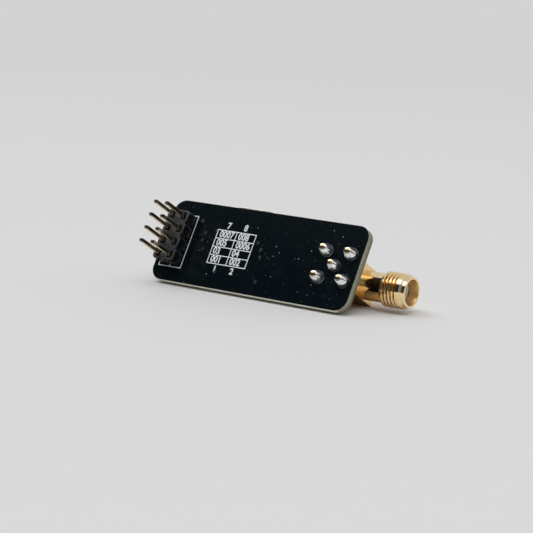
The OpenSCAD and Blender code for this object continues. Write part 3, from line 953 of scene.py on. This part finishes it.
def solder_fillet(bm, low, high, axis, end):
    """A small hollow-sided wedge of solder between a cap's end and its pad."""
    out = 1 if end else -1
    face = high[axis] if end else low[axis]
    tall, reach, hollow, thin, flare = (high.z - low.z) * 0.62, 0.28, 2.2, 0.02, 0.04
    other = 1 - axis
    steps = 6
    rings = []
    for k in range(steps + 1):
        share = k / steps
        along = face + out * reach * share
        top = high.z - tall * (1 - share) ** hollow - thin
        side = flare * share
        loop = []
        for across, w in ((low[other] - side, high.z + 0.01), (high[other] + side, high.z + 0.01),
                          (high[other] + side * 0.2, top), (low[other] - side * 0.2, top)):
            point = [0, 0, w]
            point[axis], point[other] = along, across
            loop.append(tuple(point))
        rings.append(loop)
    loft(bm, rings, 2)


SMALL_PARTS = {
    "capacitor_ceramic": (CERAMIC_TAN, [
        "supply_capacitor_1", "supply_capacitor_2", "supply_capacitor_3", "crystal_capacitor_1",
        "crystal_capacitor_2", "core_capacitor", "coupling_capacitor_1", "coupling_capacitor_2",
        "filter_capacitor_1", "filter_capacitor_2", "amplifier_capacitor_1", "amplifier_capacitor_2"]),
    "resistor_black": (GLAZE_BLACK, [
        "crystal_resistor", "bias_resistor", "control_resistor_1", "control_resistor_2"]),
    "coil_white": (CERAMIC_PALE, ["balun_coil_1", "balun_coil_2", "balun_coil_3", "filter_coil"]),
}

# ---------------------------------------------------------------- the component side of the board


def make_traces():
    """Copper tracks under the mask, from the header to the chips, the crystal and the jack."""
    track, supply_track, antenna_track = 0.22, 0.4, 0.6
    raised, sunk = 0.03, 0.005
    chip_reach, amplifier_reach, pad_pitch, pad_gap = 2, 1.5, 0.5, 3.5
    first_bend, bend_step = 4.6, 0.45
    crystal_half = 2.4
    chip, amplifier = node_centre("transceiver_chip"), node_centre("amplifier_chip")
    crystal, jack = node_centre("crystal_can"), node_centre("jack_center_pin")
    joints_low, joints_high = node_box("header_solder_joints")
    pins_u = (joints_low.x + joints_high.x + PIN_PITCH) / 2
    pins_v = (joints_low.y + joints_high.y) / 2
    lines = []
    for row in range(PIN_ROWS):
        step = row - (PIN_ROWS - 1) / 2
        v, target = pins_v + step * PIN_PITCH, chip.y + step * pad_pitch
        bend = chip.x - first_bend + bend_step * abs(step)
        lines.append((((pins_u, v), (bend - abs(v - target) * 0.5, v), (bend, target),
                       (chip.x - chip_reach, target)), track))
    side = 1 if crystal.y > chip.y else -1
    for k in (-1, 1):
        start = (chip.x + pad_pitch * k, chip.y + chip_reach * side)
        lines.append(((start, (start[0], crystal.y - side),
                       (crystal.x + crystal_half * k, crystal.y)), track))
    lines.append((((chip.x + chip_reach, chip.y),
                   (amplifier.x - amplifier_reach, amplifier.y)), supply_track))
    lines.append((((amplifier.x + amplifier_reach, amplifier.y), (jack.x - pad_gap, jack.y),
                   (jack.x, jack.y)), antenna_track))
    bm = bmesh.new()
    for points, width in lines:
        outline = trail(points, width)
        loft_outlines(bm, [(-raised, outline), (sunk, outline)])
    piece("tracks_component_side", bm, [VIA_MASK])


def make_component_side_print():
    """A box round the header's joints with its pin numbers, and corner marks at the chips."""
    line, box_gap = 0.15, 0.2
    mark_far, mark_near, mark_arm = 0.3, 0.18, 0.6
    joints_low, joints_high = node_box("header_solder_joints")
    us = band_edges((joints_low.x - box_gap, joints_high.x + box_gap), line)
    vs = band_edges((joints_low.y - box_gap, joints_high.y + box_gap), line)
    bm = bmesh.new()
    lattice(bm, us, vs, lambda i, j: (i, j) != (1, 1), -INK, 0)
    for node in ("transceiver_chip", "amplifier_chip"):
        low, high = node_box(node)
        us, vs = ([a - mark_far, a - mark_near, a + mark_arm, b - mark_arm, b + mark_near, b + mark_far]
                  for a, b in ((low.x, high.x), (low.y, high.y)))
        lattice(bm, us, vs, lambda i, j: i != 2 and j != 2 and (i in (0, 4) or j in (0, 4)), -INK, 0)
    piece("print_outlines_component_side", bm, [PRINT])

    digit_h, mirror, bold = 0.75, -0.9, 0.02
    odd_u, even_u = joints_low.x - 0.62, joints_high.x + 0.85
    middle = (joints_low.y + joints_high.y) / 2
    bm = bmesh.new()
    for row in range(PIN_ROWS):
        for column, u in enumerate((odd_u, even_u)):
            number = str(PIN_COLUMNS * row + column + 1)
            v = middle + (row - (PIN_ROWS - 1) / 2) * PIN_PITCH
            print_digits(bm, number, digit_h, (u, v), -INK, mirror, bold)
    piece("print_numbers_component_side", bm, [PRINT])


# ---------------------------------------------------------------- build the part

make_board()
make_vias()
make_traces()
make_header_box()
make_table()
make_component_side_print()
make_jack_solder()
make_header_solder()
make_barrel()
dress_jack()
make_header()
make_crystal()
make_chip("transceiver_chip", 5)
make_chip("amplifier_chip", 4)
for slot_name, (body_material, nodes) in SMALL_PARTS.items():
    for node_name in nodes:
        make_two_ended(node_name, body_material)

# ---------------------------------------------------------------- floor, light and camera

CAMERA_AZIMUTH = 35.065      # degrees from -Y towards +X
CAMERA_ELEVATION = 9.903
CAMERA_ROLL = 2.746          # its right side is tilted up
CAMERA_DISTANCE = 0.30564
CAMERA_TARGET = Vector((-0.956, -1.088, 5.687)) * MM
FIELD_OF_VIEW = 17.46        # degrees, across the square picture

FLOOR_RADIUS = 8.0
# painted light: the paper is paler near the camera
FLOOR_NEAR_PAINTED_LIGHT = (0.82, 0.82, 0.82)
FLOOR_FAR = (0.76, 0.76, 0.76)

DARK_ROOM = (0.026, 0.030, 0.034)
PALE_ROOM = (0.62, 0.62, 0.62)
PALE_ROOM_WAY = (0, 0.5, 0.87)
SOFT_BOX_X = (-1.15, 0.6)    # how far it reaches, per unit of height
SOFT_BOX_Y = (-0.68, -0.08)
SOFT_BOX = (2.75, 2.75, 2.75)
SIDE_LIGHT = (0.22, 0.24, 0.26)
SIDE_LIGHT_WAY = (0.75, -0.60, 0.3)


def make_floor():
    """A wide sheet of pale paper, with painted light making it a little paler near the camera."""
    bm = bmesh.new()
    bmesh.ops.create_circle(bm, cap_ends=True, radius=FLOOR_RADIUS, segments=96)
    mesh = bpy.data.meshes.new("floor")
    bm.to_mesh(mesh)
    bm.free()
    material = bpy.data.materials.new("floor_paper")
    material.use_nodes = True
    tree = material.node_tree
    shader = tree.nodes["Principled BSDF"]
    shader.inputs["Roughness"].default_value = 0.75
    shader.inputs["Specular IOR Level"].default_value = 0.25
    coordinates = tree.nodes.new("ShaderNodeTexCoord")
    place = node_of(tree, "ShaderNodeSeparateXYZ", Vector=coordinates.outputs["Object"])
    # painted light: paler towards the camera
    far = ranged(tree, place.outputs["Y"], -0.05, 0.6, 0, 1)
    tree.links.new(mixed(tree, far, FLOOR_NEAR_PAINTED_LIGHT, FLOOR_FAR), shader.inputs["Base Color"])
    mesh.materials.append(material)
    floor = bpy.data.objects.new("floor", mesh)
    bpy.context.scene.collection.objects.link(floor)
    floor.rotation_euler.z = math.radians(CAMERA_AZIMUTH)


def make_camera():
    azimuth, elevation, roll = map(math.radians, (CAMERA_AZIMUTH, CAMERA_ELEVATION, CAMERA_ROLL))
    back = Vector((math.sin(azimuth) * math.cos(elevation), -math.cos(azimuth) * math.cos(elevation),
                   math.sin(elevation)))
    level = Vector((math.cos(azimuth), math.sin(azimuth), 0))
    upright = back.cross(level)
    right = level * math.cos(roll) + upright * math.sin(roll)
    up = back.cross(right)
    data = bpy.data.cameras.new("camera")
    data.sensor_width = 36
    data.lens = data.sensor_width / 2 / math.tan(math.radians(FIELD_OF_VIEW) / 2)
    data.clip_start, data.clip_end = 0.01, 10
    camera = bpy.data.objects.new("camera", data)
    bpy.context.scene.collection.objects.link(camera)
    camera.matrix_world = Matrix((right, up, back)).transposed().to_4x4()
    camera.location = CAMERA_TARGET + back * CAMERA_DISTANCE
    bpy.context.scene.camera = camera


def make_world():
    """The room: dark behind the camera, pale above and behind the part, and a long soft box overhead."""
    world = bpy.data.worlds.new("room")
    bpy.context.scene.world = world
    world.use_nodes = True
    tree = world.node_tree
    direction = tree.nodes.new("ShaderNodeTexCoord").outputs["Generated"]
    parts = node_of(tree, "ShaderNodeSeparateXYZ", Vector=direction).outputs

    def towards(axis, low, high):
        product = tree.nodes.new("ShaderNodeVectorMath")
        product.operation = "DOT_PRODUCT"
        tree.links.new(direction, product.inputs[0])
        product.inputs[1].default_value = Vector(axis).normalized()
        return ranged(tree, product.outputs["Value"], low, high, 0, 1)

    def between(value, low, high, soft):
        rise = ranged(tree, value, low - soft, low + soft, 0, 1)
        return maths(tree, "MULTIPLY", rise, ranged(tree, value, high - soft, high + soft, 1, 0))

    height = maths(tree, "MAXIMUM", parts["Z"], 0.05)
    box_x = between(maths(tree, "DIVIDE", parts["X"], height), *SOFT_BOX_X, 0.06)
    box_y = between(maths(tree, "DIVIDE", parts["Y"], height), *SOFT_BOX_Y, 0.03)
    colour = mixed(tree, towards(PALE_ROOM_WAY, 0.25, 0.45), DARK_ROOM, PALE_ROOM)
    colour = mixed(tree, maths(tree, "MULTIPLY", box_x, box_y), colour, SOFT_BOX)
    colour = mixed(tree, towards(SIDE_LIGHT_WAY, 0.90, 0.95), colour, SIDE_LIGHT)
    tree.links.new(colour, tree.nodes["Background"].inputs["Color"])


make_floor()
make_camera()
make_world()
bpy.context.scene.view_settings.view_transform = "Standard"
